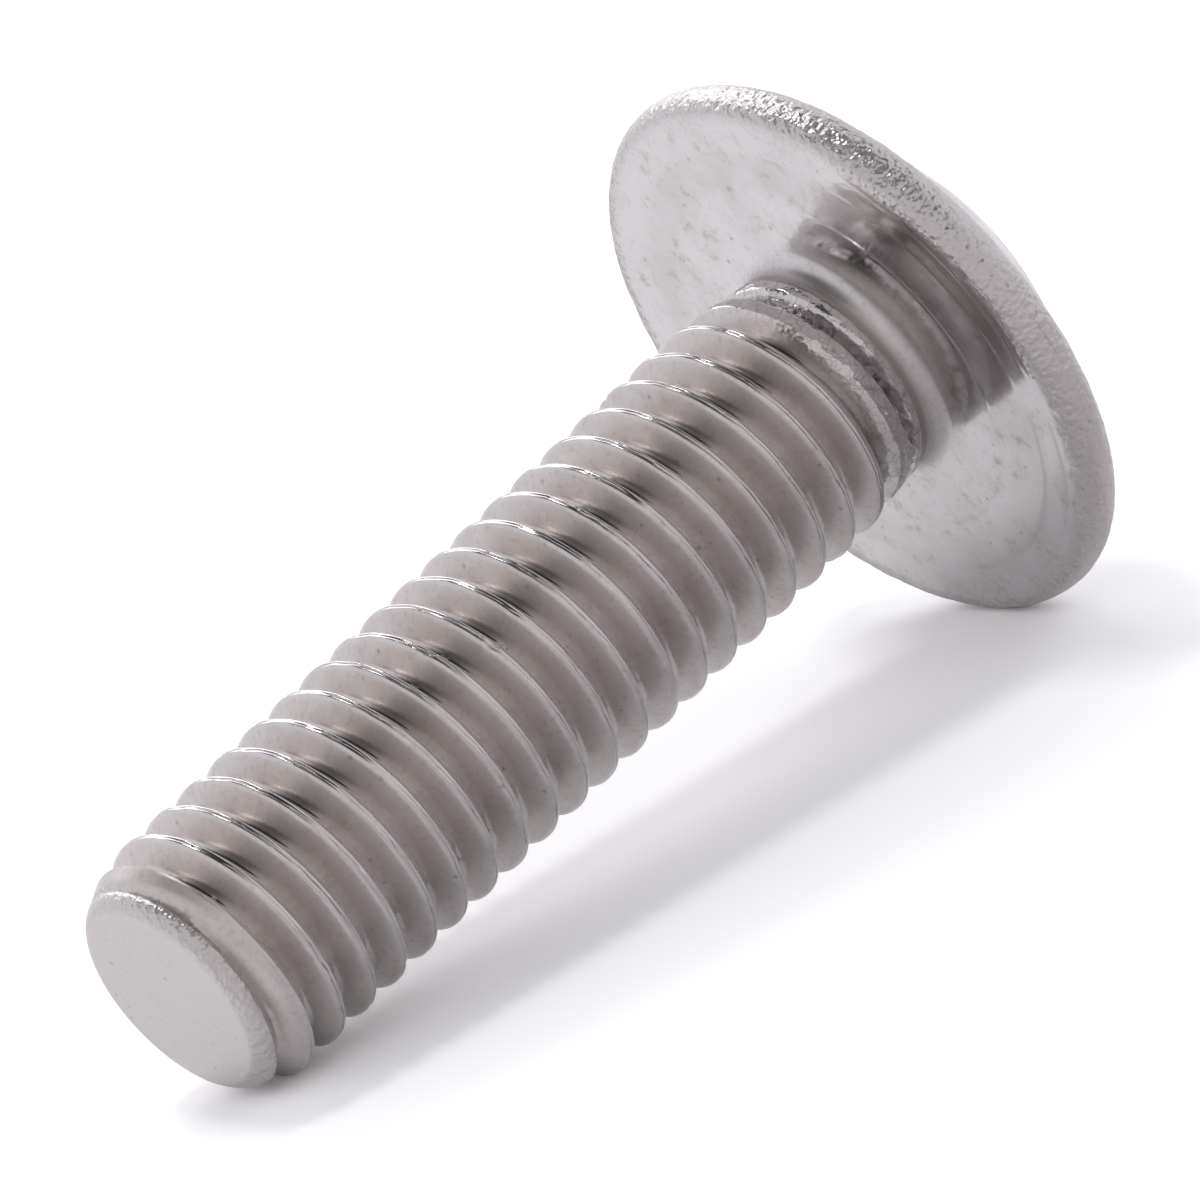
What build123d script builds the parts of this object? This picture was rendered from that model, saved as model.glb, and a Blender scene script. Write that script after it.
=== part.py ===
from build123d import *
from math import asin, atan2, cos, degrees, hypot, radians, sin, sqrt, tan
import os

# A flanged button head screw, M5 x 0.8 x 18, forged and thread-rolled from one rod.
# It is drawn upright, tip down: the screw's axis is Z, and the tip's end face is at
# height 0. At the end it is laid down as it rests on a flat surface, on the rim of its
# flange and on its first full thread crest. All sizes are in millimetres.

# Thread, right-handed
pitch = 0.8
major_diameter = 4.92
thread_depth = 0.49
flank_angle = 60.0                # between the two flanks of the groove
crest_width = 0.05                # flat left on top of each crest
first_crest = 1.02                # from the tip to the first full crest, on the underside
length_under_head = 18.0

# Tip
tip_face_diameter = 3.7
tip_collar_diameter = 4.3         # collar round the tip, where the lead-in cone starts
tip_collar_height = 0.3
tip_round = 0.45                  # radius between the end face and the collar's edge
lead_in = 0.95                    # from the tip to the full thread diameter
first_groove_step = 0.03          # how far the first groove starts below the collar
first_groove_rise = 0.4           # length over which that groove gets its full depth

# Neck, between the thread and the head
neck_diameter = 4.4
neck_length = 0.7
neck_fillet = 0.3
run_out = 1.3                     # length over which the crests fade into the neck
groove_run_out_turns = 1.5        # turns in which the groove rises out of the neck
rise_past_neck = 0.08             # how far above the neck it has risen by then

# Flange
flange_diameter = 11.4
rim_round = 0.55                  # radius of the rounded rim, in section
rim_centre = 0.42                 # height of that radius's centre above the bearing face
flange_slope = 15.0               # angle at which the flange rises towards the dome

# Dome
dome_diameter = 8.9               # where it meets the flange
dome_fillet = 0.4
crown_diameter = 3.9              # of the flat round the socket
head_height = 2.85

# Hexagon socket
socket_width = 3.0                # across the flats
socket_depth = 1.6                # to the foot of its walls
socket_mouth_diameter = 3.6       # of the chamfer at its mouth
socket_mouth_angle = 60.0         # between that chamfer and the axis
socket_floor_angle = 60.0         # between the floor's cone and the axis

major_radius = major_diameter / 2
root_radius = major_radius - thread_depth
tip_face_radius = tip_face_diameter / 2
collar_radius = tip_collar_diameter / 2
neck_radius = neck_diameter / 2
dome_radius = dome_diameter / 2
crown_radius = crown_diameter / 2
run_out_end = length_under_head - neck_length
run_out_start = run_out_end - run_out
head_top = length_under_head + head_height

# The rim's round in section: where it leaves the bearing face, its outermost point, and
# where it meets the flange's sloping top at a tangent.
rim_radius = flange_diameter / 2 - rim_round
rim_height = length_under_head + rim_centre
slope = radians(flange_slope)
bearing_edge = (rim_radius + sqrt(rim_round**2 - rim_centre**2), length_under_head)
rim_middle = (flange_diameter / 2, rim_height)
rim_top = (rim_radius + rim_round * sin(slope), rim_height + rim_round * cos(slope))
dome_foot = (dome_radius, rim_top[1] + (rim_top[0] - dome_radius) * tan(slope))

# The dome is part of a sphere centred on the axis, through its foot and the crown's edge.
crown_edge = (crown_radius, head_top)
dome_rise = head_top - dome_foot[1]
below_middle = (dome_radius**2 - crown_radius**2) / (2 * dome_rise)
sphere_radius = hypot(dome_radius, dome_rise / 2 - below_middle)

# The forged blank, turned about the axis from one section.
with BuildPart() as upright:
    with BuildSketch(Plane.YZ):
        with BuildLine():
            Line((0, 0), (tip_face_radius, 0))
            RadiusArc((tip_face_radius, 0), (collar_radius, tip_collar_height), -tip_round)
            Polyline(
                (collar_radius, tip_collar_height),
                (major_radius, lead_in),
                (major_radius, run_out_start),
                (neck_radius, run_out_end),
                (neck_radius, length_under_head),
                bearing_edge,
            )
            ThreePointArc(bearing_edge, rim_middle, rim_top)
            Line(rim_top, dome_foot)
            RadiusArc(dome_foot, crown_edge, -sphere_radius)
            Polyline(crown_edge, (0, head_top), (0, 0))
        make_face()
    revolve(axis=Axis.Z)
    round_edges = upright.edges().filter_by(GeomType.CIRCLE)
    bearing_edges = round_edges.filter_by_position(Axis.Z, length_under_head, length_under_head)
    fillet(bearing_edges.sort_by(SortBy.RADIUS)[0], neck_fillet)
    round_edges = upright.edges().filter_by(GeomType.CIRCLE)
    fillet(round_edges.filter_by_position(Axis.Z, dome_foot[1], dome_foot[1]), dome_fillet)

    # The socket: six walls, a chamfer at the mouth, and a floor that a cone deepens.
    with BuildSketch(Plane.XY.offset(head_top)):
        RegularPolygon(socket_width / 2, 6, major_radius=False)
    extrude(amount=-socket_depth, mode=Mode.SUBTRACT)
    mouth_radius = socket_mouth_diameter / 2
    mouth_point = head_top - mouth_radius / tan(radians(socket_mouth_angle))
    floor_radius = socket_width / 2
    floor_height = head_top - socket_depth
    floor_point = floor_height - floor_radius / tan(radians(socket_floor_angle))
    with BuildSketch(Plane.XZ):
        with BuildLine():
            Polyline((0, head_top), (mouth_radius, head_top), (0, mouth_point), close=True)
        make_face()
        with BuildLine():
            Polyline((0, floor_height), (floor_radius, floor_height), (0, floor_point), close=True)
        make_face()
    revolve(axis=Axis.Z, mode=Mode.SUBTRACT)

# The groove between the crests, in section: a flat bottom and two straight flanks, which
# go on past the crests so that the cutter's mouth is clear of them.
half_flank = radians(flank_angle / 2)
mouth_clearance = 0.1
lip_width = (pitch - crest_width) / 2
root_width = lip_width - thread_depth * tan(half_flank)
mouth_width = lip_width + mouth_clearance * tan(half_flank)


def groove_length(start, turns, cone_angle=0):
    """One length of the groove, swept along its helix from a height above the tip."""
    with BuildPart() as length:
        with BuildLine() as path:
            Helix(pitch, turns * pitch, root_radius, (0, 0, start), cone_angle=cone_angle)
        with BuildSketch(Plane((0, 0, start), x_dir=(1, 0, 0), z_dir=(0, -1, 0))):
            with BuildLine():
                Polyline(
                    (root_radius, root_width),
                    (major_radius + mouth_clearance, mouth_width),
                    (major_radius + mouth_clearance, -mouth_width),
                    (root_radius, -root_width),
                    close=True,
                )
            make_face()
        sweep(path=path.line, is_frenet=True)
    return length.part


# The groove is cut from below the tip up to where the crests start to fade, in lengths of
# a few turns. From there its bottom rises out of the neck.
turns_in_a_length = 4
groove_height = first_crest - 2 * pitch
turns_left = round((run_out_start - groove_height) / pitch)
with upright:
    while turns_left > 0:
        turns = min(turns_in_a_length, turns_left)
        add(groove_length(groove_height, turns), mode=Mode.SUBTRACT)
        groove_height += turns * pitch
        turns_left -= turns
    groove_rise = neck_radius - root_radius + rise_past_neck
    rise_angle = degrees(atan2(groove_rise, groove_run_out_turns * pitch))
    add(groove_length(groove_height, groove_run_out_turns, rise_angle), mode=Mode.SUBTRACT)

# The collar round the tip is whole: the first groove rises out of it.
step_radius = collar_radius - first_groove_step
core_radius = root_radius / 2
rise = (step_radius - root_radius) / first_groove_rise
core_height = tip_collar_height + (step_radius - core_radius) / rise
with upright:
    with BuildSketch(Plane.XZ):
        with BuildLine():
            Polyline(
                (0, first_groove_step),
                (tip_face_radius - first_groove_step, first_groove_step),
                (step_radius, tip_collar_height),
                (core_radius, core_height),
                (0, core_height),
                close=True,
            )
        make_face()
    revolve(axis=Axis.Z)

# Lying down, the screw touches the surface with the rim's round and with the first full
# crest. The tilt is the slope of the line that touches both from below.
crest_to_rim = rim_height - first_crest
rim_drop = rim_radius - major_radius
tilt = atan2(rim_drop, crest_to_rim) + asin(rim_round / hypot(rim_drop, crest_to_rim))
axis_direction = Vector(cos(tilt), 0, sin(tilt))
radial_up = Vector(-sin(tilt), 0, cos(tilt))

# The tip's height puts that crest on the surface. Along X the screw is centred between
# the tip's edge and the crown's edge.
tip_height = major_radius * cos(tilt) - first_crest * sin(tilt)
tip_reach = tip_face_radius * sin(tilt)
crown_reach = head_top * cos(tilt) + crown_radius * sin(tilt)
tip_centre = Vector((tip_reach - crown_reach) / 2, 0, tip_height)
with BuildPart() as screw:
    add(upright.part.moved(Plane(tip_centre, radial_up, axis_direction).location))

screw.part.label = "screw"
os.makedirs("parts", exist_ok=True)
export_step(screw.part, "parts/screw.step")
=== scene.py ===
"""A flanged button head screw lying on a plain floor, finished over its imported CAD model.

The screw is one steel piece. Its surface is worked out here as one closed skin round the
screw's axis: tip, rolled thread, neck, flange, dome and hexagon socket. Lengths in the
settings are in metres, as in the CAD model; the skin is worked out in millimetres.
"""

import bpy
import numpy as np
from bpy.props import FloatProperty, FloatVectorProperty, IntProperty, PointerProperty
from mathutils import Matrix, Vector


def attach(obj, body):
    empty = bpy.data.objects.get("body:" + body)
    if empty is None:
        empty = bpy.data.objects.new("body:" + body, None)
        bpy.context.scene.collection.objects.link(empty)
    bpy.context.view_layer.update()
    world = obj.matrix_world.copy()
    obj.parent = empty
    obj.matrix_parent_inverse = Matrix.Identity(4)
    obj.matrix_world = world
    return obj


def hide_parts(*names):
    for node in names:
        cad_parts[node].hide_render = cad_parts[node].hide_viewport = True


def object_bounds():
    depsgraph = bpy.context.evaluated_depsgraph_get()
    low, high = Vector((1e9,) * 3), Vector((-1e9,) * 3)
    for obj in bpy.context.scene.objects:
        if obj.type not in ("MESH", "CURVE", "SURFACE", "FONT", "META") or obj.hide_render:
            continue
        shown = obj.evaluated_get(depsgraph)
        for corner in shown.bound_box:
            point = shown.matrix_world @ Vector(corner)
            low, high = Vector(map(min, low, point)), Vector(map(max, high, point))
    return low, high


bl_info = {
    "name": "Flanged button head screw",
    "version": (1, 0, 0),
    "blender": (4, 5, 0),
    "location": "3D View > Sidebar > Screw",
    "description": "Makes a flanged button head screw and the plain studio it lies in",
    "category": "Add Mesh",
}

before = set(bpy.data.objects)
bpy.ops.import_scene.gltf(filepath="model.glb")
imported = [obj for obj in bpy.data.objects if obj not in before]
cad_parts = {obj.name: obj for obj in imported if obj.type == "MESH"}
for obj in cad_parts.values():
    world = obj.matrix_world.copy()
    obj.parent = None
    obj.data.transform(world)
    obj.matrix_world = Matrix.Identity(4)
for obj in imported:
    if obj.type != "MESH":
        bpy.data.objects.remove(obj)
cad_low, cad_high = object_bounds()
MM = 0.001
TURN = 2 * np.pi
WHITE, BLACK = (1, 1, 1, 1), (0, 0, 0, 1)

# The attributes of the skin that its steel reads; skin_zones works them out.
ZONES = (
    "grain", "polish", "gall", "darkening", "crest", "root", "flank", "seam", "cut_end", "head",
    "radius",
)

# Rows of the skin from a crest's middle to the groove's, as shares of half the pitch.
CREST_ROWS = np.array([0.013, 0.026, 0.042, 0.065, 0.11, 0.2, 0.285, 0.325, 0.365]) / 0.4

# Sizes of random bumps: cells in a turn, a cell's length in millimetres, and their share.
CRUMPLE_SIZES = ((42, 0.2, 1.0), (110, 0.08, 0.5))
PIT_SIZES = ((170, 0.2, 1.0), (330, 0.1, 0.7))

# Radii in millimetres on the bearing face: of the faint steps that forging left in it, of
# the smudged ring, and of the band where it is hazy, which comes in and goes out slowly.
FACE_RINGS = (3.6, 4.6, 5.08)
SMUDGED_RING = 4.62
HAZE_COMES, HAZE_GOES = (3.7, 3.95), (4.55, 4.8)

# Edges between faces that meet at more than this angle are shaded as sharp.
SHARP_ANGLE = np.radians(50)

# The floor is a square; this is half its side, in metres.
FLOOR_REACH = 0.4


def length(name, description, millimetres):
    """A length setting, written in millimetres and kept in metres."""
    return FloatProperty(
        name=name, description=description, default=millimetres * MM, unit="LENGTH", precision=5
    )


def angle(name, description, degrees):
    """An angle setting, written in degrees."""
    return FloatProperty(
        name=name, description=description, default=np.radians(degrees), subtype="ANGLE"
    )


def amount(name, description, default):
    """A plain number between 0 and 1."""
    return FloatProperty(name=name, description=description, default=default, min=0, max=1)


def colour(name, description, default):
    """A colour setting."""
    return FloatVectorProperty(
        name=name, description=description, default=default, subtype="COLOR", min=0, max=1
    )


class ThreadSizes(bpy.types.PropertyGroup):
    pitch: length("Pitch", "Distance from one crest to the next", 0.8)
    major_diameter: length("Major diameter", "Diameter over the crests", 4.92)
    depth: length("Depth", "From the crests down to the root", 0.49)
    flank_angle: angle("Flank angle", "Angle between the two flanks of the groove", 60)
    root_round: length("Root round", "Radius at the bottom of the groove", 0.10)
    seam_depth: length("Seam depth", "Depth of the seam that rolling leaves in a crest", 0.035)
    nick_depth: length("Nick depth", "Depth of the small nicks in the crests", 0.03)
    first_crest: length("First crest", "From the tip to the first full crest, underneath", 1.02)
    under_head: length("Length under head", "From the tip to the bearing face", 18)
    tip_face_diameter: length("Tip face", "Diameter of the flat end", 3.7)
    collar_diameter: length("Tip collar", "Diameter where the lead-in starts", 4.3)
    collar_height: length("Collar height", "Height of that collar above the flat end", 0.3)
    tip_round: length("Tip round", "Radius between the flat end and the collar", 0.45)
    lead_in: length("Lead-in", "From the tip to the full thread diameter", 0.95)
    first_groove_rise: length("First groove", "Length over which the first groove deepens", 0.25)
    neck_diameter: length("Neck diameter", "Diameter of the plain neck", 4.4)
    neck_length: length("Neck length", "Length of the plain neck", 0.7)
    neck_fillet: length("Neck fillet", "Radius between the neck and the flange", 0.3)
    run_out: length("Run-out", "Length over which the crests fade into the neck", 1.3)
    groove_run_out: FloatProperty(
        name="Groove run-out", description="Turns in which the groove rises", default=1.2
    )
    rise_past_neck: length("Rise past neck", "How far above the neck the groove has risen", 0.14)
    run_out_lip: length("Run-out lip", "How far its crumpled end stands above the neck", 0.06)
    galling: length("Galling", "Depth of the crumpled metal on the run-out", 0.03)


class HeadSizes(bpy.types.PropertyGroup):
    flange_diameter: length("Flange", "Outside diameter of the flange", 11.4)
    rim_round: length("Rim round", "Radius of the rounded rim, in section", 0.55)
    rim_centre: length("Rim centre", "Height of that radius's centre above the bearing face", 0.42)
    flange_slope: angle("Flange slope", "Rise of the flange towards the dome", 15)
    dome_diameter: length("Dome", "Diameter where the dome meets the flange", 8.9)
    dome_fillet: length("Dome fillet", "Radius between the dome and the flange", 0.4)
    crown_diameter: length("Crown", "Diameter of the flat round the socket", 3.9)
    height: length("Head height", "From the bearing face to the crown", 2.85)
    socket_width: length("Socket", "Width of the socket across its flats", 3)
    socket_depth: length("Socket depth", "Down to the foot of the socket's walls", 1.6)
    mouth_diameter: length("Socket mouth", "Diameter of the chamfer at the mouth", 3.6)
    mouth_angle: angle("Mouth angle", "Between the chamfer and the axis", 60)
    floor_angle: angle("Floor angle", "Between the floor's cone and the axis", 60)
    edge_round: length("Edge round", "Radius that softens the head's edges", 0.05)
    rim_grain: length("Rim grain", "Depth of the rough grain on the rim", 0.01)
    ring_step: length("Ring step", "Height of the faint steps in the bearing face", 0.006)


class SkinGrid(bpy.types.PropertyGroup):
    columns: IntProperty(name="Columns", description="Faces round the axis", default=144, min=24)
    seed: IntProperty(name="Seed", description="Start of the random wear", default=7)


class SteelFinish(bpy.types.PropertyGroup):
    # The darkening colour is what dull, stained and darkened places are drawn towards.
    colour: colour("Steel", "Colour of the bare steel", (0.62, 0.598, 0.605))
    rolled: colour("Rolled steel", "Colour of the rolled flanks", (0.605, 0.565, 0.553))
    darkening: colour("Stain", "Colour in the dull, stained places", (0.38, 0.335, 0.31))
    flank_roughness: amount("Flank roughness", "Roughness of the rolled flanks", 0.42)
    root_roughness: amount("Root roughness", "Roughness of the groove's bottom", 0.14)
    crest_roughness: amount("Crest roughness", "Roughness of the rubbed crests", 0.18)
    gall_roughness: amount("Run-out roughness", "Roughness of the galled run-out", 0.2)
    face_roughness: amount("Face roughness", "Roughness of the bearing face", 0.11)
    head_roughness: amount("Head roughness", "Roughness of the dome and the socket", 0.27)
    end_roughness: amount("End roughness", "Roughness of the cut end", 0.26)
    grain_roughness: amount("Grain roughness", "Roughness of the grainy rim", 0.37)
    grit_strength: amount("Grit", "Strength of the fine grit on the rim and run-out", 0.6)
    flank_strength: amount("Flank grit", "Strength of the fine grit elsewhere", 0.012)


class Studio(bpy.types.PropertyGroup):
    azimuth: angle("Azimuth", "Side that the camera stands on; 0 looks along +Y", -32.13)
    elevation: angle("Elevation", "Height of the camera above the horizon", 16.83)
    roll: angle("Roll", "Clockwise roll of the camera", 21.92)
    distance: length("Distance", "From the camera to the screw's middle", 212.89)
    aside: length("Aside", "How far right of the screw's middle the camera aims", 1.10)
    above: length("Above", "How far above the screw's middle the camera aims", -0.87)
    lens: FloatProperty(name="Lens", description="Focal length in millimetres", default=365.9)
    paper: colour("Paper", "Colour of the floor", (0.93, 0.925, 0.94))
    # Painted reflection: the steel sees the nearest paper dimmer than the camera does.
    painted_front_reflection: colour(
        "Front paper", "What the steel sees of the nearest floor", (0.58, 0.55, 0.558)
    )
    lift: amount("Lift", "How much paler than paper the floor looks to the camera", 0.2)
    # Where that painted dim reflection of the floor begins and where it is dimmest.
    dim_from: length("Dim from", "Where the floor starts to look dim, towards -Y", 0)
    dim_full: length("Dim full", "Where it is at its dimmest", 7)
    fill: FloatProperty(name="Fill", description="Light of the walls on the floor", default=1.45)
    high_fill: FloatProperty(
        name="High fill", description="Light of the ceiling on the floor", default=0.2
    )
    walls: colour("Walls", "What the steel sees of the walls behind", (0.95, 0.94, 0.98))
    front_walls: colour(
        "Front walls", "What it sees of those beside the camera", (0.77, 0.745, 0.75)
    )
    ceiling: colour("Ceiling", "What it sees of the dark ceiling", (0.045, 0.042, 0.04))
    ceiling_from: angle("Ceiling from", "Height where the walls start to darken", 48)
    ceiling_full: angle("Ceiling full", "Height where the ceiling is at its darkest", 55)
    lamp_distance: length("Lamp distance", "From the screw to each lamp", 400)
    key_height: angle("Key height", "Height of the lamp overhead above the horizon", 75)
    key_size: length("Key size", "Side of the lamp overhead", 75)
    key_brightness: FloatProperty(name="Key", description="Brightness; 1 is white", default=17)
    back_height: angle("Back height", "Height of the lamp behind above the horizon", 35)
    back_wide: length("Back width", "Width of the lamp behind", 300)
    back_tall: length("Back size", "Height of the lamp behind, from edge to edge", 210)
    back_brightness: FloatProperty(name="Back", description="Brightness; 1 is white", default=1.8)


def smoothstep(x):
    """3x^2 - 2x^3, with x held between 0 and 1."""
    x = np.clip(x, 0, 1)
    return x * x * (3 - 2 * x)


def lesser(a, b, blend):
    """The smaller of two heights, rounded where they cross over a width of blend."""
    h = np.clip(0.5 + 0.5 * (b - a) / blend, 0, 1)
    return b + (a - b) * h - blend * h * (1 - h)


def greater(a, b, blend):
    """The larger of two heights, rounded where they cross over a width of blend."""
    return -lesser(-a, -b, blend)


def unevenness(around, along, cells, step, seed):
    """Random bumps on a lattice: one random number at each crossing of the lattice, smoothly
    blended between the four crossings round a point. The lattice has a whole number of cells
    in a turn, so it closes, and cells one step long along the axis. About -2 to 2."""
    u = around / TURN * cells
    v = along / step
    v = v - np.floor(v.min())
    table = np.random.default_rng(seed).standard_normal((int(v.max()) + 3, cells))
    i, j = np.floor(v).astype(int), np.floor(u).astype(int)
    s, t = smoothstep(v - i), smoothstep(u - j)
    low, high = j % cells, (j + 1) % cells
    near = table[i, low] * (1 - t) + table[i, high] * t
    far = table[i + 1, low] * (1 - t) + table[i + 1, high] * t
    return near * (1 - s) + far * s


def bumps(around, along, sizes, seed):
    """Random bumps of several sizes: the sum of their lattices, each by its share."""
    return sum(
        share * unevenness(around, along, cells, step, seed + i)
        for i, (cells, step, share) in enumerate(sizes)
    )


def rounded(points, radius, samples):
    """A line through points whose inner corners are rounded with one radius. Each corner gives
    an arc tangent to both of its sides, cut shorter where a side is too short for it."""
    points = np.asarray(points, float)
    line = [points[:1]]
    for before, corner, after in zip(points[:-2], points[1:-1], points[2:]):
        a, b = before - corner, after - corner
        long_a, long_b = np.hypot(*a), np.hypot(*b)
        a, b = a / long_a, b / long_b
        half = np.arccos(np.clip(a @ b, -1, 1)) / 2
        reach = min(radius / np.tan(half), 0.45 * long_a, 0.45 * long_b)
        s = np.linspace(0, 1, samples)[:, None]
        curve = (1 - s) ** 2 * a * reach + s**2 * b * reach
        line.append(corner + curve)
    line.append(points[-1:])
    return np.vstack(line)


def spread(line, gap):
    """A line with points added on its long sides, so that no side is much longer than gap."""
    out = [line[:1]]
    for a, b in zip(line[:-1], line[1:]):
        n = max(1, int(np.ceil(np.hypot(*(b - a)) / gap)))
        out.append(a + (b - a) * (np.arange(1, n + 1) / n)[:, None])
    return np.vstack(out)


def arc(centre, radius, start, end, samples):
    """Points (radius, height) on a circle in section, from one angle to another."""
    t = np.linspace(start, end, samples)
    return np.stack([centre[0] + radius * np.cos(t), centre[1] + radius * np.sin(t)], 1)


def galled(height, t):
    """How crumpled the run-out's metal is at a height above the tip, 0 to 1. It is crumpled
    over the last three quarters of the run-out and a little way up the neck."""
    end = (t.under_head - t.neck_length) / MM
    begin = end - 0.75 * t.run_out / MM
    fade_in, up_the_neck, fade_out = 0.25, 0.16, 0.08
    over = smoothstep((height - end - up_the_neck) / fade_out)
    return smoothstep((height - begin) / fade_in) * (1 - over)


def crumples(around, height, t, seed):
    """Depth of the run-out's crumples: two sizes of random lumps, cut off where they rise."""
    lumps = bumps(around, height, CRUMPLE_SIZES, seed + 3)
    return galled(height, t) * np.clip(0.3 + 0.5 * lumps, 0, 1.6) * t.galling / MM


def thread_place(around, height, t):
    """Where a point of the shank lies on the thread: its distance across the pitch from the
    nearest crest, and the length of the crest up to it. Heights wind with the helix, so a
    crest is where (height - first crest) / pitch less the angle in turns is whole."""
    pitch = t.pitch / MM
    turns = (height - t.first_crest / MM) / pitch - (around - np.pi) / TURN
    crest = np.round(turns)
    return (turns - crest) * pitch, (crest * TURN + around) * t.major_diameter / MM / 2


def seam_share(across, helix, seed):
    """Depth from 0 to 1 of the seam that rolling folds into the crest. It wanders across the
    crest and fades and returns along it, each after a length of its own. In section it is a
    bell curve of half_width."""
    none = np.zeros_like(helix)
    wanders_after, fades_after, half_width = 0.28, 0.65, 0.016
    wander = 0.012 * unevenness(none, helix, 1, wanders_after, seed)
    deep = 0.6 + 0.3 * unevenness(none, helix, 1, fades_after, seed + 1)
    return np.clip(deep, 0, 1) * np.exp(-(((across - wander) / half_width) ** 2))


def thread_skin(around, height, t, seed):
    """Radius of the threaded shank at an angle round the axis and a height above the tip.

    Across one pitch the groove is an arc of the root round at the bottom and two straight
    flanks. The crest is a shallow parabola with a seam and nicks pressed into it. The smaller
    of the groove and the crest is taken, then the smaller of that and the lead-in and run-out
    cones, and then the larger of that and a cone that falls from the tip's collar, out of
    which the first groove rises. Where two of them cross, the edge is rounded over a small
    width. The run-out's metal is crumpled and ends in a low lip above the neck.
    """
    crest_edge, lead_in_edge, run_out_edge, collar_edge, core_edge = 0.018, 0.03, 0.05, 0.03, 0.01
    pitch, major = t.pitch / MM, t.major_diameter / MM / 2
    root = major - t.depth / MM
    across, helix = thread_place(around, height, t)
    half_pitch = pitch / 2
    half = t.flank_angle / 2
    bottom = t.root_round / MM
    foot_w, foot_r = bottom * np.cos(half), root + bottom * (1 - np.sin(half))
    w = half_pitch - np.abs(across)
    in_root = np.minimum(w, foot_w)
    groove = root + bottom - np.sqrt(bottom**2 - in_root**2)
    groove = np.where(w > foot_w, foot_r + (w - foot_w) / np.tan(half), groove)

    run_out_end = (t.under_head - t.neck_length) / MM
    run_out_start = run_out_end - t.run_out / MM
    neck = t.neck_diameter / MM / 2
    middle = height - across + np.where(across < 0, -half_pitch, half_pitch)
    first = t.first_crest / MM
    rise_start = first + round((run_out_start - first) / pitch) * pitch
    rise = (neck - root + t.rise_past_neck / MM) / (t.groove_run_out * pitch)
    groove = groove + np.maximum(middle - rise_start, 0) * rise

    nicks_apart, only_above, crest_curve = 0.165, 1.5, 3.2
    hit = unevenness(np.zeros_like(helix), helix, 1, nicks_apart, seed + 2)
    nick = np.clip(hit - only_above, 0, 1) * t.nick_depth / MM
    seam = seam_share(across, helix, seed) * t.seam_depth / MM
    top = major - crest_curve * across**2 - seam - nick

    skin = lesser(groove, top, crest_edge)
    collar, collar_top = t.collar_diameter / MM / 2, t.collar_height / MM
    lead = (t.lead_in - t.collar_height) / MM
    cone_in = collar + (height - collar_top) * (major - collar) / lead
    lip = neck + t.run_out_lip / MM
    cone_out = major - (height - run_out_start) * (major - lip) / (t.run_out / MM)
    skin = lesser(skin, cone_in, lead_in_edge)
    skin = lesser(skin, cone_out, run_out_edge)
    below_collar, below_root, last = 0.02, 0.05, 0.08
    fall = (collar - root) / (t.first_groove_rise / MM)
    skin = greater(skin, collar - below_collar - (height - collar_top) * fall, collar_edge)
    skin = greater(skin, np.full_like(skin, root - below_root), core_edge)
    past = smoothstep((height - run_out_end + last) / last)
    return skin * (1 - past) + lip * past - crumples(around, height, t, seed)


def lay_down(points, t, h):
    """Points of the upright screw, tip down, laid on the floor as the CAD model lies, and the
    turn and the place of the tip that lay them there.

    The tilt is the slope of the line that touches the rim's round and the first full crest
    from below, and the tip's height puts that crest on the floor. Along X the screw is
    centred in the CAD model's box.
    """
    major, rim = t.major_diameter / MM / 2, h.rim_round / MM
    far = (h.flange_diameter / MM) / 2 - rim
    run = (t.under_head + h.rim_centre - t.first_crest) / MM
    tilt = np.arctan2(far - major, run) + np.arcsin(rim / np.hypot(far - major, run))
    along = Vector((np.cos(tilt), 0, np.sin(tilt)))
    up = Vector((-np.sin(tilt), 0, np.cos(tilt)))
    top = (t.under_head + h.height) / MM
    back = t.tip_face_diameter / MM / 2 * np.sin(tilt)
    ahead = top * np.cos(tilt) + h.crown_diameter / MM / 2 * np.sin(tilt)
    middle = (cad_low.x + cad_high.x) / 2 / MM
    tip = Vector(
        (middle + (back - ahead) / 2, 0, major * np.cos(tilt) - t.first_crest / MM * np.sin(tilt))
    )
    turn = Matrix((up, along.cross(up), along)).transposed()
    return points @ np.array(turn).T + np.array(tip), turn, tip


def bulge(a, b, radius, samples):
    """Points of the arc of one radius from a to b that bulges to the right of that way."""
    a, b = np.asarray(a, float), np.asarray(b, float)
    way = b - a
    half = np.hypot(*way) / 2
    left = np.array([-way[1], way[0]]) / (2 * half)
    centre = (a + b) / 2 + left * np.sqrt(radius**2 - half**2)
    start = np.arctan2(*(a - centre)[::-1])
    end = np.arctan2(*(b - centre)[::-1])
    return arc(centre, radius, start, end, samples)


def tip_rings(t):
    """The tip in section from its middle outwards: a flat face, and the arc to the collar."""
    face, collar = t.tip_face_diameter / MM / 2, t.collar_diameter / MM / 2
    flat = face * np.array([0.15, 0.4, 0.65, 0.85, 0.96, 0.992])
    flat = np.stack([flat, np.zeros_like(flat)], 1)
    edge = bulge((face, 0), (collar, t.collar_height / MM), t.tip_round / MM, 7)
    line = np.vstack([flat, edge[:-1]])
    return line[:, 0], line[:, 1]


def grained(radius, height, t, h):
    """How grainy the forged skin is: 1 on the rim's round, fading over the flange's top and
    short of its underside, 0.9 on the round between the tip's face and the collar, and 0
    elsewhere."""
    rim_height = (t.under_head + h.rim_centre) / MM
    edge, tip_face = h.flange_diameter / MM / 2, t.tip_face_diameter / MM / 2
    # How far inside the edge the grain begins, and the width over which it comes in.
    under_from, under_in, over_from, over_in = 0.24, 0.05, 0.9, 0.5
    under = smoothstep((radius - edge + under_from) / under_in)
    over = smoothstep((radius - edge + over_from) / over_in)
    below_head, above_tip = rim_height - 0.45, 0.4
    rim = np.where(height < rim_height, under, over) * (height > below_head)
    tip = smoothstep((radius - tip_face - 0.02) / 0.05) * (height < above_tip)
    return rim + 0.9 * tip


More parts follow.
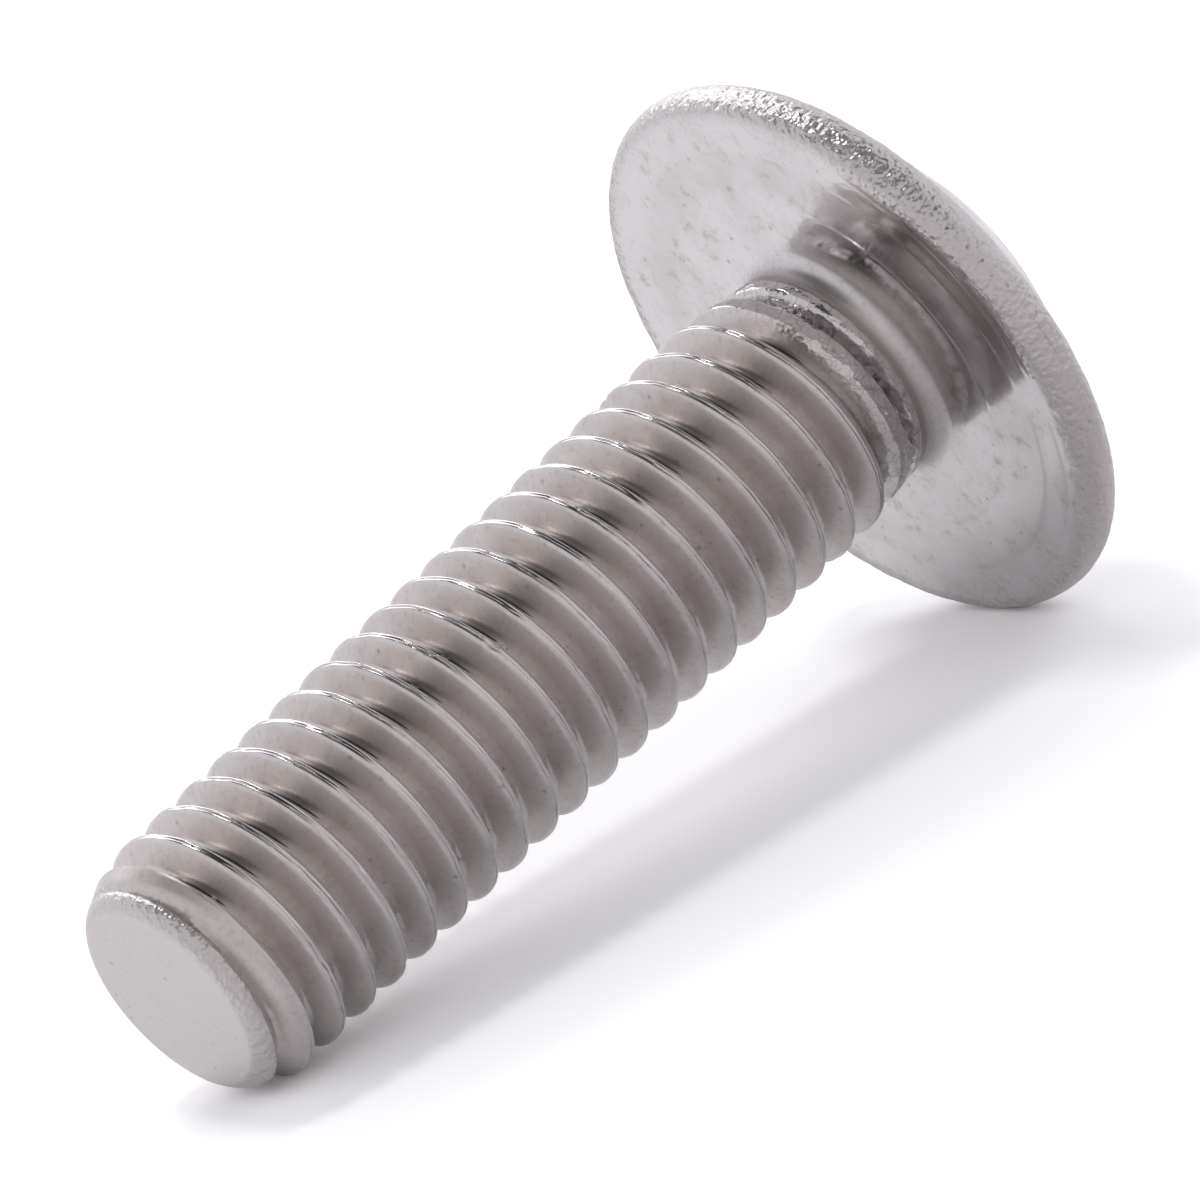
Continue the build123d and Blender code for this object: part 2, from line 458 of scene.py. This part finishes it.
def head_rings(t, h, around, seed):
    """The neck, flange, dome and socket in section, from the end of the run-out up, over and
    down to the middle of the socket's floor. Outside, the same line is turned about the axis.
    In the socket the radius follows the hexagon: half its width over the cosine of the angle
    from the middle of the nearest flat."""
    neck, bearing = t.neck_diameter / MM / 2, t.under_head / MM
    fillet, rim = t.neck_fillet / MM, h.rim_round / MM
    centre = (h.flange_diameter / MM / 2 - rim, bearing + h.rim_centre / MM)
    slope = h.flange_slope
    edge = (centre[0] + np.sqrt(rim**2 - (h.rim_centre / MM) ** 2), bearing)
    top = (centre[0] + rim * np.sin(slope), centre[1] + rim * np.cos(slope))
    dome, crown = h.dome_diameter / MM / 2, h.crown_diameter / MM / 2
    foot = (dome, top[1] + (top[0] - dome) * np.tan(slope))
    summit = bearing + h.height / MM
    rise = summit - foot[1]
    below = (dome**2 - crown**2) / (2 * rise)
    sphere = np.hypot(dome, rise / 2 - below)

    # The lip at the end of the run-out and the plain neck above it.
    lip = neck + t.run_out_lip / MM
    shaft = np.array([[lip, 0.06], [lip, 0.12], [lip - 0.01, 0.17], [neck, 0.22], [neck, 0.3]])
    shaft[:, 1] += bearing - t.neck_length / MM
    corner = (neck + fillet, bearing - fillet)
    hollow = arc(corner, fillet, np.pi, np.pi / 2, 6)
    hollow[:, 1] = np.minimum(hollow[:, 1], bearing)

    # The bearing face with its faint steps, each of them one step_width wide.
    rings, step_width = np.array(FACE_RINGS), 0.1
    steps = np.add.outer(rings, np.linspace(-step_width / 2, step_width / 2, 5)).ravel()
    face = np.sort(np.concatenate([np.linspace(neck + fillet, edge[0], 10)[1:], steps]))
    lift = smoothstep(np.subtract.outer(face, rings) / step_width + 0.5).sum(1)
    face = np.stack([face, bearing + lift * h.ring_step / MM * (face < edge[0])], 1)

    # The rim's round, the flange's slope, the dome and the crown.
    low = np.arctan2(edge[1] - centre[1], edge[0] - centre[0])
    rim_arc = arc(centre, rim, low, np.pi / 2 - slope, 24)[1:]
    ball = bulge(foot, (crown, summit), sphere, 12)
    skirt = rounded(np.vstack([rim_arc[-1:], [foot], ball[2:]]), h.dome_fillet / MM, 5)
    skirt = spread(skirt, 0.45)[1:-1]
    mouth = h.mouth_diameter / MM / 2
    lid = [ball[-2], (crown, summit), (mouth - 0.05, summit)]
    lid = rounded(lid, h.edge_round / MM, 3)
    outside = np.vstack([shaft, hollow, face, rim_arc, skirt, lid[1:-1]])
    r = np.repeat(outside[:, :1], len(around), 1)
    z = np.repeat(outside[:, 1:], len(around), 1)

    # Pits in the rim, pressed towards the middle of its round.
    along = np.concatenate([[0], np.hypot(*np.diff(outside, axis=0).T).cumsum()])[:, None]
    pits = bumps(around, along + 0 * r, PIT_SIZES, seed + 5)
    pits = np.clip(0.5 + 0.5 * pits, 0, 1.8) * grained(r, z, t, h) * h.rim_grain / MM
    off_r, off_z = r - centre[0], z - centre[1]
    reach = np.maximum(np.hypot(off_r, off_z), rim / 2)
    r, z = r - pits * off_r / reach, z - pits * off_z / reach
    r = r - crumples(around + 0 * z, z, t, seed) * (r < neck + 0.3)

    # The socket: its mouth's chamfer, its six walls and the cone of its floor.
    from_flat = (around + np.pi / 6) % (np.pi / 3) - np.pi / 6
    from_flat = np.pi / 6 - np.abs(from_flat)
    wall = h.socket_width / MM / 2 / np.cos(from_flat)
    deep = h.socket_depth / MM
    drop = (mouth - wall) / np.tan(h.mouth_angle)
    floor = h.socket_width / MM / 2
    rows_r, rows_z = [], []
    for share in (0.0, 0.12, 0.88):
        rows_r.append(mouth + (wall - mouth) * share)
        rows_z.append(summit - drop * share)
    for share in (0.0, 0.05, 0.5, 0.95, 1.0):
        rows_r.append(wall)
        rows_z.append(summit - drop - 0.01 - (deep - drop - 0.01) * share)
    for share in (0.97, 0.75, 0.5, 0.25):
        in_cone = np.minimum(wall, floor * share)
        rows_r.append(in_cone)
        rows_z.append(summit - deep - (floor - in_cone) / np.tan(h.floor_angle))
    bottom = summit - deep - floor / np.tan(h.floor_angle)
    return np.vstack([r, rows_r]), np.vstack([z, rows_z]), bottom


def join_rings(low, high):
    """Triangles between two closed rings of point numbers. A ring with twice as many points
    gets two of its sides for each side of the other."""
    if len(high) == 2 * len(low):
        a, b = low, np.roll(low, -1)
        c, d, e = high[0::2], high[1::2], np.roll(high[0::2], -1)
        return np.vstack([np.stack(x, 1) for x in ((a, d, c), (a, b, d), (b, e, d))])
    a, b, c, d = low, np.roll(low, -1), np.roll(high, -1), high
    return np.vstack([np.stack([a, b, c], 1), np.stack([a, c, d], 1)])


def screw_skin(t, h, g):
    """Points and triangles of the whole screw, upright, in millimetres.

    The skin is a grid of angle round the axis by place along the section. On the thread the
    rows wind with the helix, so each row keeps its place across the pitch and the crests
    stay sharp; rows past either end of the thread are drawn together on its end ring.
    """
    n, pitch = g.columns, t.pitch / MM
    around = np.arange(n) / n * TURN
    start, end = t.collar_height / MM, (t.under_head - t.neck_length) / MM
    points, faces = [], []

    def add_points(angle, radius, height):
        """Keeps new points, given round the axis, and returns their numbers."""
        first = sum(len(p) for p in points)
        angle, radius, height = np.broadcast_arrays(angle, radius, height)
        xyz = np.stack([radius * np.cos(angle), radius * np.sin(angle), height], -1)
        points.append(xyz.reshape(-1, 3))
        return first + np.arange(radius.size).reshape(radius.shape)

    # Tip.
    r, z = tip_rings(t)
    middle = add_points(0.0, np.zeros(1), 0.0)[0]
    rings = add_points(around, r[:, None], z[:, None])
    seams = [np.full(n, middle), *rings]

    # Thread.
    half = pitch / 2
    side = CREST_ROWS * half
    across = np.concatenate([-side[::-1], [0], side, [half]])
    m = len(across)
    base = t.first_crest / MM - half
    first_turn = int(np.floor((start - base + half) / pitch)) - 1
    turns = int(np.ceil((end - base + half) / pitch)) - first_turn + 1
    rows = (first_turn + np.arange(turns))[:, None] * pitch + across
    height = base + rows.reshape(-1, 1) + pitch * around / TURN
    radius = thread_skin(around + 0 * height, height, t, g.seed)
    low = add_points(around, thread_skin(around, np.full(n, start), t, g.seed), start)
    high = add_points(around, thread_skin(around, np.full(n, end), t, g.seed), end)
    inside = (height > start) & (height < end)
    spot = np.where(height <= start, low, high)
    spot[inside] = add_points((around + 0 * height)[inside], radius[inside], height[inside])
    spot = np.vstack([spot, np.tile(high, (m, 1))])
    spot = np.hstack([spot[:-m], spot[m:, :1]])
    a, b, c, d = spot[:-1, :-1], spot[:-1, 1:], spot[1:, 1:], spot[1:, :-1]
    faces += [np.stack(x, -1).reshape(-1, 3) for x in ((a, b, c), (a, c, d))]
    seams.append(low)
    faces += [join_rings(x, y) for x, y in zip(seams[:-1], seams[1:])]

    # Neck, head and socket.
    fine = np.arange(2 * n) / (2 * n) * TURN
    r, z, bottom = head_rings(t, h, fine, g.seed)
    rings = add_points(fine, r, z)
    middle = add_points(0.0, np.zeros(1), bottom)[0]
    seams = [high, *rings, np.full(2 * n, middle)]
    faces += [join_rings(x, y) for x, y in zip(seams[:-1], seams[1:])]

    # Rows drawn together on an end ring leave triangles with a corner twice, which go.
    faces = np.vstack(faces)
    a, b, c = faces.T
    return np.vstack(points), faces[(a != b) & (b != c) & (c != a)]


def skin_zones(points, t, h, seed):
    """Shares from 0 to 1 that tell the material where each kind of surface lies: the grain of
    the rim and the tip, the polished bearing face, the galled run-out, a darker band round the
    neck's foot, the thread's crests, roots, flanks and seams, the cut end and the head above
    its bearing face. The seams' share also darkens them, which is painted shade in their fold.
    Each is a smooth step or a bell curve over some hundredths or tenths of a millimetre of
    radius or height. "radius" is no share but the distance from the axis."""
    radius, height = np.hypot(points[:, 0], points[:, 1]), points[:, 2]
    around = np.arctan2(points[:, 1], points[:, 0]) % TURN
    bearing, neck = t.under_head / MM, t.neck_diameter / MM / 2
    major, rim = t.major_diameter / MM / 2, h.flange_diameter / MM / 2
    root = major - t.depth / MM
    shank = height < bearing - 0.35
    level = np.abs(height - bearing) < 0.03
    flat = level * smoothstep((radius - neck - 0.15) / 0.3)
    return {
        "grain": grained(radius, height, t, h),
        "polish": flat * (1 - smoothstep((radius - rim + 0.26) / 0.08)),
        "gall": galled(height, t),
        # A darker band round the neck's foot, just below the fillet.
        "darkening": np.exp(-(((height - bearing + 0.42) / 0.09) ** 2)) * (radius < neck + 0.3),
        "crest": smoothstep((radius - major + 0.06) / 0.05) * shank,
        "root": (1 - smoothstep((radius - root - 0.035) / 0.05)) * shank * (height > 1),
        "flank": smoothstep((major - 0.03 - radius) / 0.06) * shank * (height > 0.35),
        "seam": seam_share(*thread_place(around, height, t), seed) * (radius > major - 0.07),
        "radius": radius,
        "cut_end": 1 - smoothstep((height - 0.02) / 0.3),
        "head": smoothstep((height - bearing - 0.3) / 0.4),
    }


def solid_from(name, points, faces):
    """A smooth closed mesh object from arrays of points in metres and triangles."""
    mesh = bpy.data.meshes.new(name)
    mesh.vertices.add(len(points))
    mesh.vertices.foreach_set("co", points.astype(np.float32).ravel())
    mesh.loops.add(faces.size)
    mesh.loops.foreach_set("vertex_index", faces.astype(np.int32).ravel())
    mesh.polygons.add(len(faces))
    mesh.polygons.foreach_set("loop_start", np.arange(0, faces.size, 3, dtype=np.int32))
    mesh.polygons.foreach_set("use_smooth", np.ones(len(faces), bool))
    mesh.update(calc_edges=True)
    mesh.validate()
    mesh.set_sharp_from_angle(angle=SHARP_ANGLE)
    obj = bpy.data.objects.new(name, mesh)
    bpy.context.scene.collection.objects.link(obj)
    return obj


class Nodes:
    """Adds nodes to a tree. A node's inputs are given by name or number, as values or links."""

    def __init__(self, tree):
        self.tree = tree
        tree.nodes.clear()

    def add(self, kind, inputs=(), out=0, **settings):
        """A new node's output with that name or number, or the node itself if out is None."""
        node = self.tree.nodes.new(kind)
        for key, value in settings.items():
            setattr(node, key, value)
        for key, value in dict(inputs).items():
            if isinstance(value, bpy.types.NodeSocket):
                self.tree.links.new(value, node.inputs[key])
            else:
                node.inputs[key].default_value = value
        return node.outputs[out] if out is not None else node

    def math(self, operation, *values):
        """The result of one sum."""
        return self.add("ShaderNodeMath", dict(enumerate(values)), operation=operation)

    def noise(self, vector, scale, detail, roughness):
        """Soft random values round 0.5, with about scale lumps in a millimetre."""
        inputs = {"Vector": vector, "Scale": scale, "Detail": detail, "Roughness": roughness}
        return self.add("ShaderNodeTexNoise", inputs)

    def between(self, value, low, high, to_low=0.0, to_high=1.0):
        """to_low where the value is low or less, to_high where it is high or more, and even
        steps in between."""
        inputs = {"Value": value, 1: low, 2: high, 3: to_low, 4: to_high}
        return self.add("ShaderNodeMapRange", inputs)

    def blend(self, share, a, b):
        """Colour a where the share is 0, and b where it is 1."""
        node = self.add("ShaderNodeMix", {0: share, 6: a, 7: b}, out=None, data_type="RGBA")
        return node.outputs[2]


def steel(s, turn, tip):
    """Bare rolled and forged stainless steel. Its patterns lie in the screw's own frame, in
    millimetres from the tip, so they keep their place on it however it lies."""
    material = bpy.data.materials.new("bare_stainless_steel")
    material.use_nodes = True
    n = Nodes(material.node_tree)
    place = n.add("ShaderNodeTexCoord", out=3)
    inverse = turn.transposed()
    at = n.add(
        "ShaderNodeMapping",
        {
            "Vector": place,
            "Location": -(inverse @ tip),
            "Rotation": inverse.to_euler(),
            "Scale": (1 / MM,) * 3,
        },
    )
    zone = {
        name: n.add("ShaderNodeAttribute", out="Fac", attribute_name=name)
        for name in ZONES
    }

    # Broad and fine unevenness of the whole surface.
    mottle = n.noise(at, 1.1, 4, 0.65)
    fine = n.noise(at, 9, 2, 0.6)

    # A hazy band on the bearing face.
    haze = n.math("MULTIPLY", zone["polish"], n.between(zone["radius"], *HAZE_COMES))
    haze = n.math("MULTIPLY", haze, n.between(zone["radius"], *HAZE_GOES, 1.0, 0.35))
    haze = n.math("MULTIPLY", haze, n.between(mottle, 0.35, 0.6, 0.3, 1.0))

    # Small dark specks, one in about every ninth cell.
    cell = n.add("ShaderNodeTexVoronoi", {"Vector": at, "Scale": 4}, out=None)
    some = n.between(n.add("ShaderNodeSeparateColor", {0: cell.outputs["Color"]}), 0.88, 0.9)
    speck = n.math("MULTIPLY", n.between(cell.outputs["Distance"], 0.12, 0.24, 1.0, 0.0), some)

    # Smudges, mostly on the bearing face, and the smudged ring there.
    ring = n.math("ABSOLUTE", n.math("SUBTRACT", zone["radius"], SMUDGED_RING))
    ring = n.math("MULTIPLY", n.between(ring, 0.0, 0.1, 0.6, 0.0), zone["polish"])
    smudge = n.between(n.noise(at, 2.2, 6, 0.72), 0.52, 0.68)
    smudge = n.math("MULTIPLY", n.math("MAXIMUM", smudge, ring), n.between(mottle, 0.4, 0.6))
    smudge = n.math("MULTIPLY", smudge, n.between(zone["polish"], 0.0, 1.0, 0.35, 1.0))

    # Dark cracks in the galled run-out.
    crack = n.add(
        "ShaderNodeTexVoronoi", {"Vector": at, "Scale": 3.8}, feature="DISTANCE_TO_EDGE"
    )
    crack = n.math("MULTIPLY", n.between(crack, 0.0, 0.06, 1.0, 0.0), zone["gall"])

    # Colour: each mark below draws it towards the darkening colour, by at most its own share. Most
    # are dull or stained places; the seam's share is painted shade in the crest's fold.
    dull = n.between(mottle, 0.42, 0.7, 0.0, 0.3)
    dull = n.math("ADD", dull, n.between(fine, 0.56, 0.7, 0.0, 0.3))
    for share, most in (
        (zone["darkening"], 0.9),
        # painted shade: the crest's seam is darkened where its fold holds shade
        (zone["seam"], 0.9),
        (haze, 0.3),
        (smudge, 0.9),
        (zone["cut_end"], 0.3),
        (zone["grain"], 0.22),
        (speck, 0.8),
        (crack, 0.8),
    ):
        dull = n.math("MAXIMUM", dull, n.math("MULTIPLY", share, most))
    rolled = n.math("MULTIPLY", zone["flank"], n.math("SUBTRACT", 1.0, zone["gall"]))
    base = n.blend(rolled, (*s.colour, 1), (*s.rolled, 1))
    base = n.blend(dull, base, (*s.darkening, 1))

    # Roughness: that of the flanks, and over it that of each other kind of surface.
    rough = n.between(fine, 0.3, 0.7, s.flank_roughness - 0.04, s.flank_roughness + 0.04)
    for name, value in (
        ("root", s.root_roughness),
        ("crest", s.crest_roughness),
        ("gall", s.gall_roughness),
        ("polish", s.face_roughness),
        ("cut_end", s.end_roughness),
        ("head", s.head_roughness),
        ("grain", s.grain_roughness),
    ):
        to = n.math("ADD", value, n.between(mottle, 0.3, 0.7, -0.03, 0.05))
        rough = n.add("ShaderNodeMix", {0: zone[name], 2: rough, 3: to})
    rough = n.math("ADD", rough, n.math("MULTIPLY", haze, 0.07))

    # Grit too fine for the skin's own triangles.
    grit = n.noise(at, 7.5, 1, 0.55)
    coarse = n.math("ADD", zone["grain"], n.math("MULTIPLY", zone["gall"], 0.35))
    strength = n.math("ADD", n.math("MULTIPLY", coarse, s.grit_strength), s.flank_strength)
    grit_height = 0.10 * MM
    bump = n.add(
        "ShaderNodeBump", {"Height": grit, "Strength": strength, "Distance": grit_height}
    )
    surface = n.add(
        "ShaderNodeBsdfPrincipled",
        {"Base Color": base, "Metallic": 1.0, "Roughness": rough, "Normal": bump},
    )
    n.add("ShaderNodeOutputMaterial", {"Surface": surface}, out=None)
    return material


def paper(s, front):
    """White paper, which is lit to white away from the shadow. Its nearest part, towards the
    direction front, is painted dim for the steel's reflections only: a painted dark reflection."""
    material = bpy.data.materials.new("white_paper")
    material.use_nodes = True
    n = Nodes(material.node_tree)
    path = n.add("ShaderNodeLightPath", out=None)
    place = n.add("ShaderNodeTexCoord", out=3)
    near = n.add(
        "ShaderNodeVectorMath", {0: place, 1: front}, out="Value", operation="DOT_PRODUCT"
    )
    near = n.between(near, s.dim_from, s.dim_full)
    # Painted reflection: for glossy rays only, the paper towards the front is painted dim.
    dim = n.math("MULTIPLY", near, path.outputs["Is Glossy Ray"])
    colour_seen = n.blend(dim, (*s.paper, 1), (*s.painted_front_reflection, 1))
    surface = n.add("ShaderNodeBsdfDiffuse", {"Color": colour_seen})
    lift = n.math("MULTIPLY", path.outputs["Is Camera Ray"], s.lift)
    lift = n.add("ShaderNodeCombineColor", {0: lift, 1: lift, 2: lift})
    lift = n.add("ShaderNodeBsdfDiffuse", {"Color": lift})
    surface = n.add("ShaderNodeAddShader", {0: surface, 1: lift})
    n.add("ShaderNodeOutputMaterial", {"Surface": surface}, out=None)
    return material


class SCREW_OT_make_screw(bpy.types.Operator):
    """Make the screw's skin over its CAD solid and give it its steel"""

    bl_idname = "screw.make_screw"
    bl_label = "Make the screw"

    def execute(self, context):
        scene = context.scene
        thread, head = scene.screw_thread, scene.screw_head
        points, faces = screw_skin(thread, head, scene.screw_grid)
        zones = skin_zones(points, thread, head, scene.screw_grid.seed)
        points, turn, tip = lay_down(points, thread, head)
        screw = solid_from("screw_skin", points * MM, faces)
        for name, share in zones.items():
            layer = screw.data.attributes.new(name, "FLOAT", "POINT")
            layer.data.foreach_set("value", share.astype(np.float32))
        screw.data.materials.append(steel(scene.screw_steel, turn, tip))
        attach(screw, "root")
        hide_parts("screw")
        return {"FINISHED"}


def aimed_camera(s, middle, across, ahead):
    """A camera that looks ahead at a point near the middle, rolled clockwise. Across points
    to its right before the roll."""
    over = across.cross(ahead)
    right = across * np.cos(s.roll) - over * np.sin(s.roll)
    up = right.cross(ahead)
    camera = bpy.data.objects.new("camera", bpy.data.cameras.new("camera"))
    camera.data.sensor_width = 36
    camera.data.lens = s.lens
    camera.data.clip_start, camera.data.clip_end = 0.01, 5
    place = middle - ahead * s.distance + right * s.aside + up * s.above
    turn = Matrix((right, up, -ahead)).transposed().to_4x4()
    camera.matrix_world = Matrix.Translation(place) @ turn
    bpy.context.scene.collection.objects.link(camera)
    return camera


def softbox(name, middle, towards, far, wide, tall, brightness):
    """A rectangular lamp that faces the middle from far away in the direction towards. Its
    power gives it that brightness, where 1 is white: brightness times pi times its area."""
    lamp = bpy.data.lights.new(name, "AREA")
    lamp.shape, lamp.size, lamp.size_y = "RECTANGLE", wide, tall
    lamp.energy = brightness * np.pi * wide * tall
    obj = bpy.data.objects.new(name, lamp)
    towards = towards.normalized()
    turn = towards.to_track_quat("Z", "Y").to_matrix().to_4x4()
    obj.matrix_world = Matrix.Translation(middle + towards * far) @ turn
    bpy.context.scene.collection.objects.link(obj)


def room_light(s, level):
    """The room round the screw. The camera sees it white. The steel sees pale walls, dimmer
    on the camera's side, under a dark ceiling. The paper is lit softly by it, by the walls
    more than by the ceiling and least of all from low down. Level points away from the
    camera along the floor, and heights are sines of the angle above the horizon."""
    world = bpy.data.worlds.new("studio")
    world.use_nodes = True
    n = Nodes(world.node_tree)
    way = n.add("ShaderNodeTexCoord")
    height = n.add("ShaderNodeSeparateXYZ", {0: way}, out=2)
    path = n.add("ShaderNodeLightPath", out=None)

    behind = n.add(
        "ShaderNodeVectorMath", {0: way, 1: level}, out="Value", operation="DOT_PRODUCT"
    )
    behind = n.between(behind, -0.5, 0.3)
    walls = n.blend(behind, (*s.front_walls, 1), (*s.walls, 1))
    overhead = n.between(height, np.sin(s.ceiling_from), np.sin(s.ceiling_full))
    seen = n.blend(overhead, walls, (*s.ceiling, 1))

    # The walls' light is a little blue.
    blue = 1.03
    low_fill = (s.fill, s.fill, s.fill * blue, 1)
    high_fill = (s.high_fill, s.high_fill, s.high_fill, 1)
    soft = n.blend(n.between(height, 0.6, 0.9), low_fill, high_fill)
    soft = n.blend(n.between(height, 0.0, 0.45, 0.1, 1.05), BLACK, soft)

    light = n.blend(path.outputs["Is Glossy Ray"], soft, seen)
    light = n.blend(path.outputs["Is Camera Ray"], light, WHITE)
    backdrop = n.add("ShaderNodeBackground", {"Color": light, "Strength": 1.0})
    n.add("ShaderNodeOutputWorld", {"Surface": backdrop}, out=None)
    return world


class SCREW_OT_make_studio(bpy.types.Operator):
    """Lay the paper floor, hang the lights and place the camera"""

    bl_idname = "screw.make_studio"
    bl_label = "Make the studio"

    def execute(self, context):
        scene, s = context.scene, context.scene.screw_studio
        corners = FLOOR_REACH * np.array([[-1, -1, 0], [1, -1, 0], [1, 1, 0], [-1, 1, 0]])
        floor = solid_from("floor", corners, np.array([[0, 1, 2], [0, 2, 3]]))
        floor.data.materials.append(paper(s, Vector((0, -1, 0))))

        across = Vector((np.cos(s.azimuth), np.sin(s.azimuth), 0))
        level = Vector((-np.sin(s.azimuth), np.cos(s.azimuth), 0))
        ahead = Vector((
            -np.sin(s.azimuth) * np.cos(s.elevation),
            np.cos(s.azimuth) * np.cos(s.elevation),
            -np.sin(s.elevation),
        ))
        middle = (cad_low + cad_high) / 2
        scene.camera = aimed_camera(s, middle, across, ahead)

        above = Vector((0, np.cos(s.key_height), np.sin(s.key_height)))
        key = (s.lamp_distance, s.key_size, s.key_size, s.key_brightness)
        softbox("key_lamp", middle, above, *key)
        # The lamp behind stands ten degrees to the left of straight behind.
        straight, aside = 0.985, 0.17
        behind = (level * straight - across * aside) * np.cos(s.back_height)
        behind.z = np.sin(s.back_height)
        back = (s.lamp_distance, s.back_wide, s.back_tall, s.back_brightness)
        softbox("back_lamp", middle, behind, *back)

        scene.world = room_light(s, level)
        scene.view_settings.view_transform = "Standard"
        return {"FINISHED"}


class SCREW_PT_sidebar(bpy.types.Panel):
    """The screw's settings and its two makers"""

    bl_idname = "SCREW_PT_sidebar"
    bl_label = "Screw"
    bl_space_type = "VIEW_3D"
    bl_region_type = "UI"
    bl_category = "Screw"

    def draw(self, context):
        for name, (kind, title) in GROUPS.items():
            box = self.layout.box()
            box.label(text=title)
            for key in kind.__annotations__:
                box.prop(getattr(context.scene, name), key)
        self.layout.operator(SCREW_OT_make_screw.bl_idname)
        self.layout.operator(SCREW_OT_make_studio.bl_idname)


GROUPS = {
    "screw_thread": (ThreadSizes, "Thread, tip and neck"),
    "screw_head": (HeadSizes, "Head"),
    "screw_grid": (SkinGrid, "Skin"),
    "screw_steel": (SteelFinish, "Steel"),
    "screw_studio": (Studio, "Studio"),
}
MAKERS = (SCREW_OT_make_screw, SCREW_OT_make_studio, SCREW_PT_sidebar)


def register():
    for name, (kind, _) in GROUPS.items():
        bpy.utils.register_class(kind)
        setattr(bpy.types.Scene, name, PointerProperty(type=kind))
    for kind in MAKERS:
        bpy.utils.register_class(kind)


def unregister():
    for kind in reversed(MAKERS):
        bpy.utils.unregister_class(kind)
    for name, (kind, _) in reversed(GROUPS.items()):
        delattr(bpy.types.Scene, name)
        bpy.utils.unregister_class(kind)


def main():
    """Makes everything in order."""
    register()
    bpy.ops.screw.make_screw()
    bpy.ops.screw.make_studio()


if __name__ == "__main__":
    main()
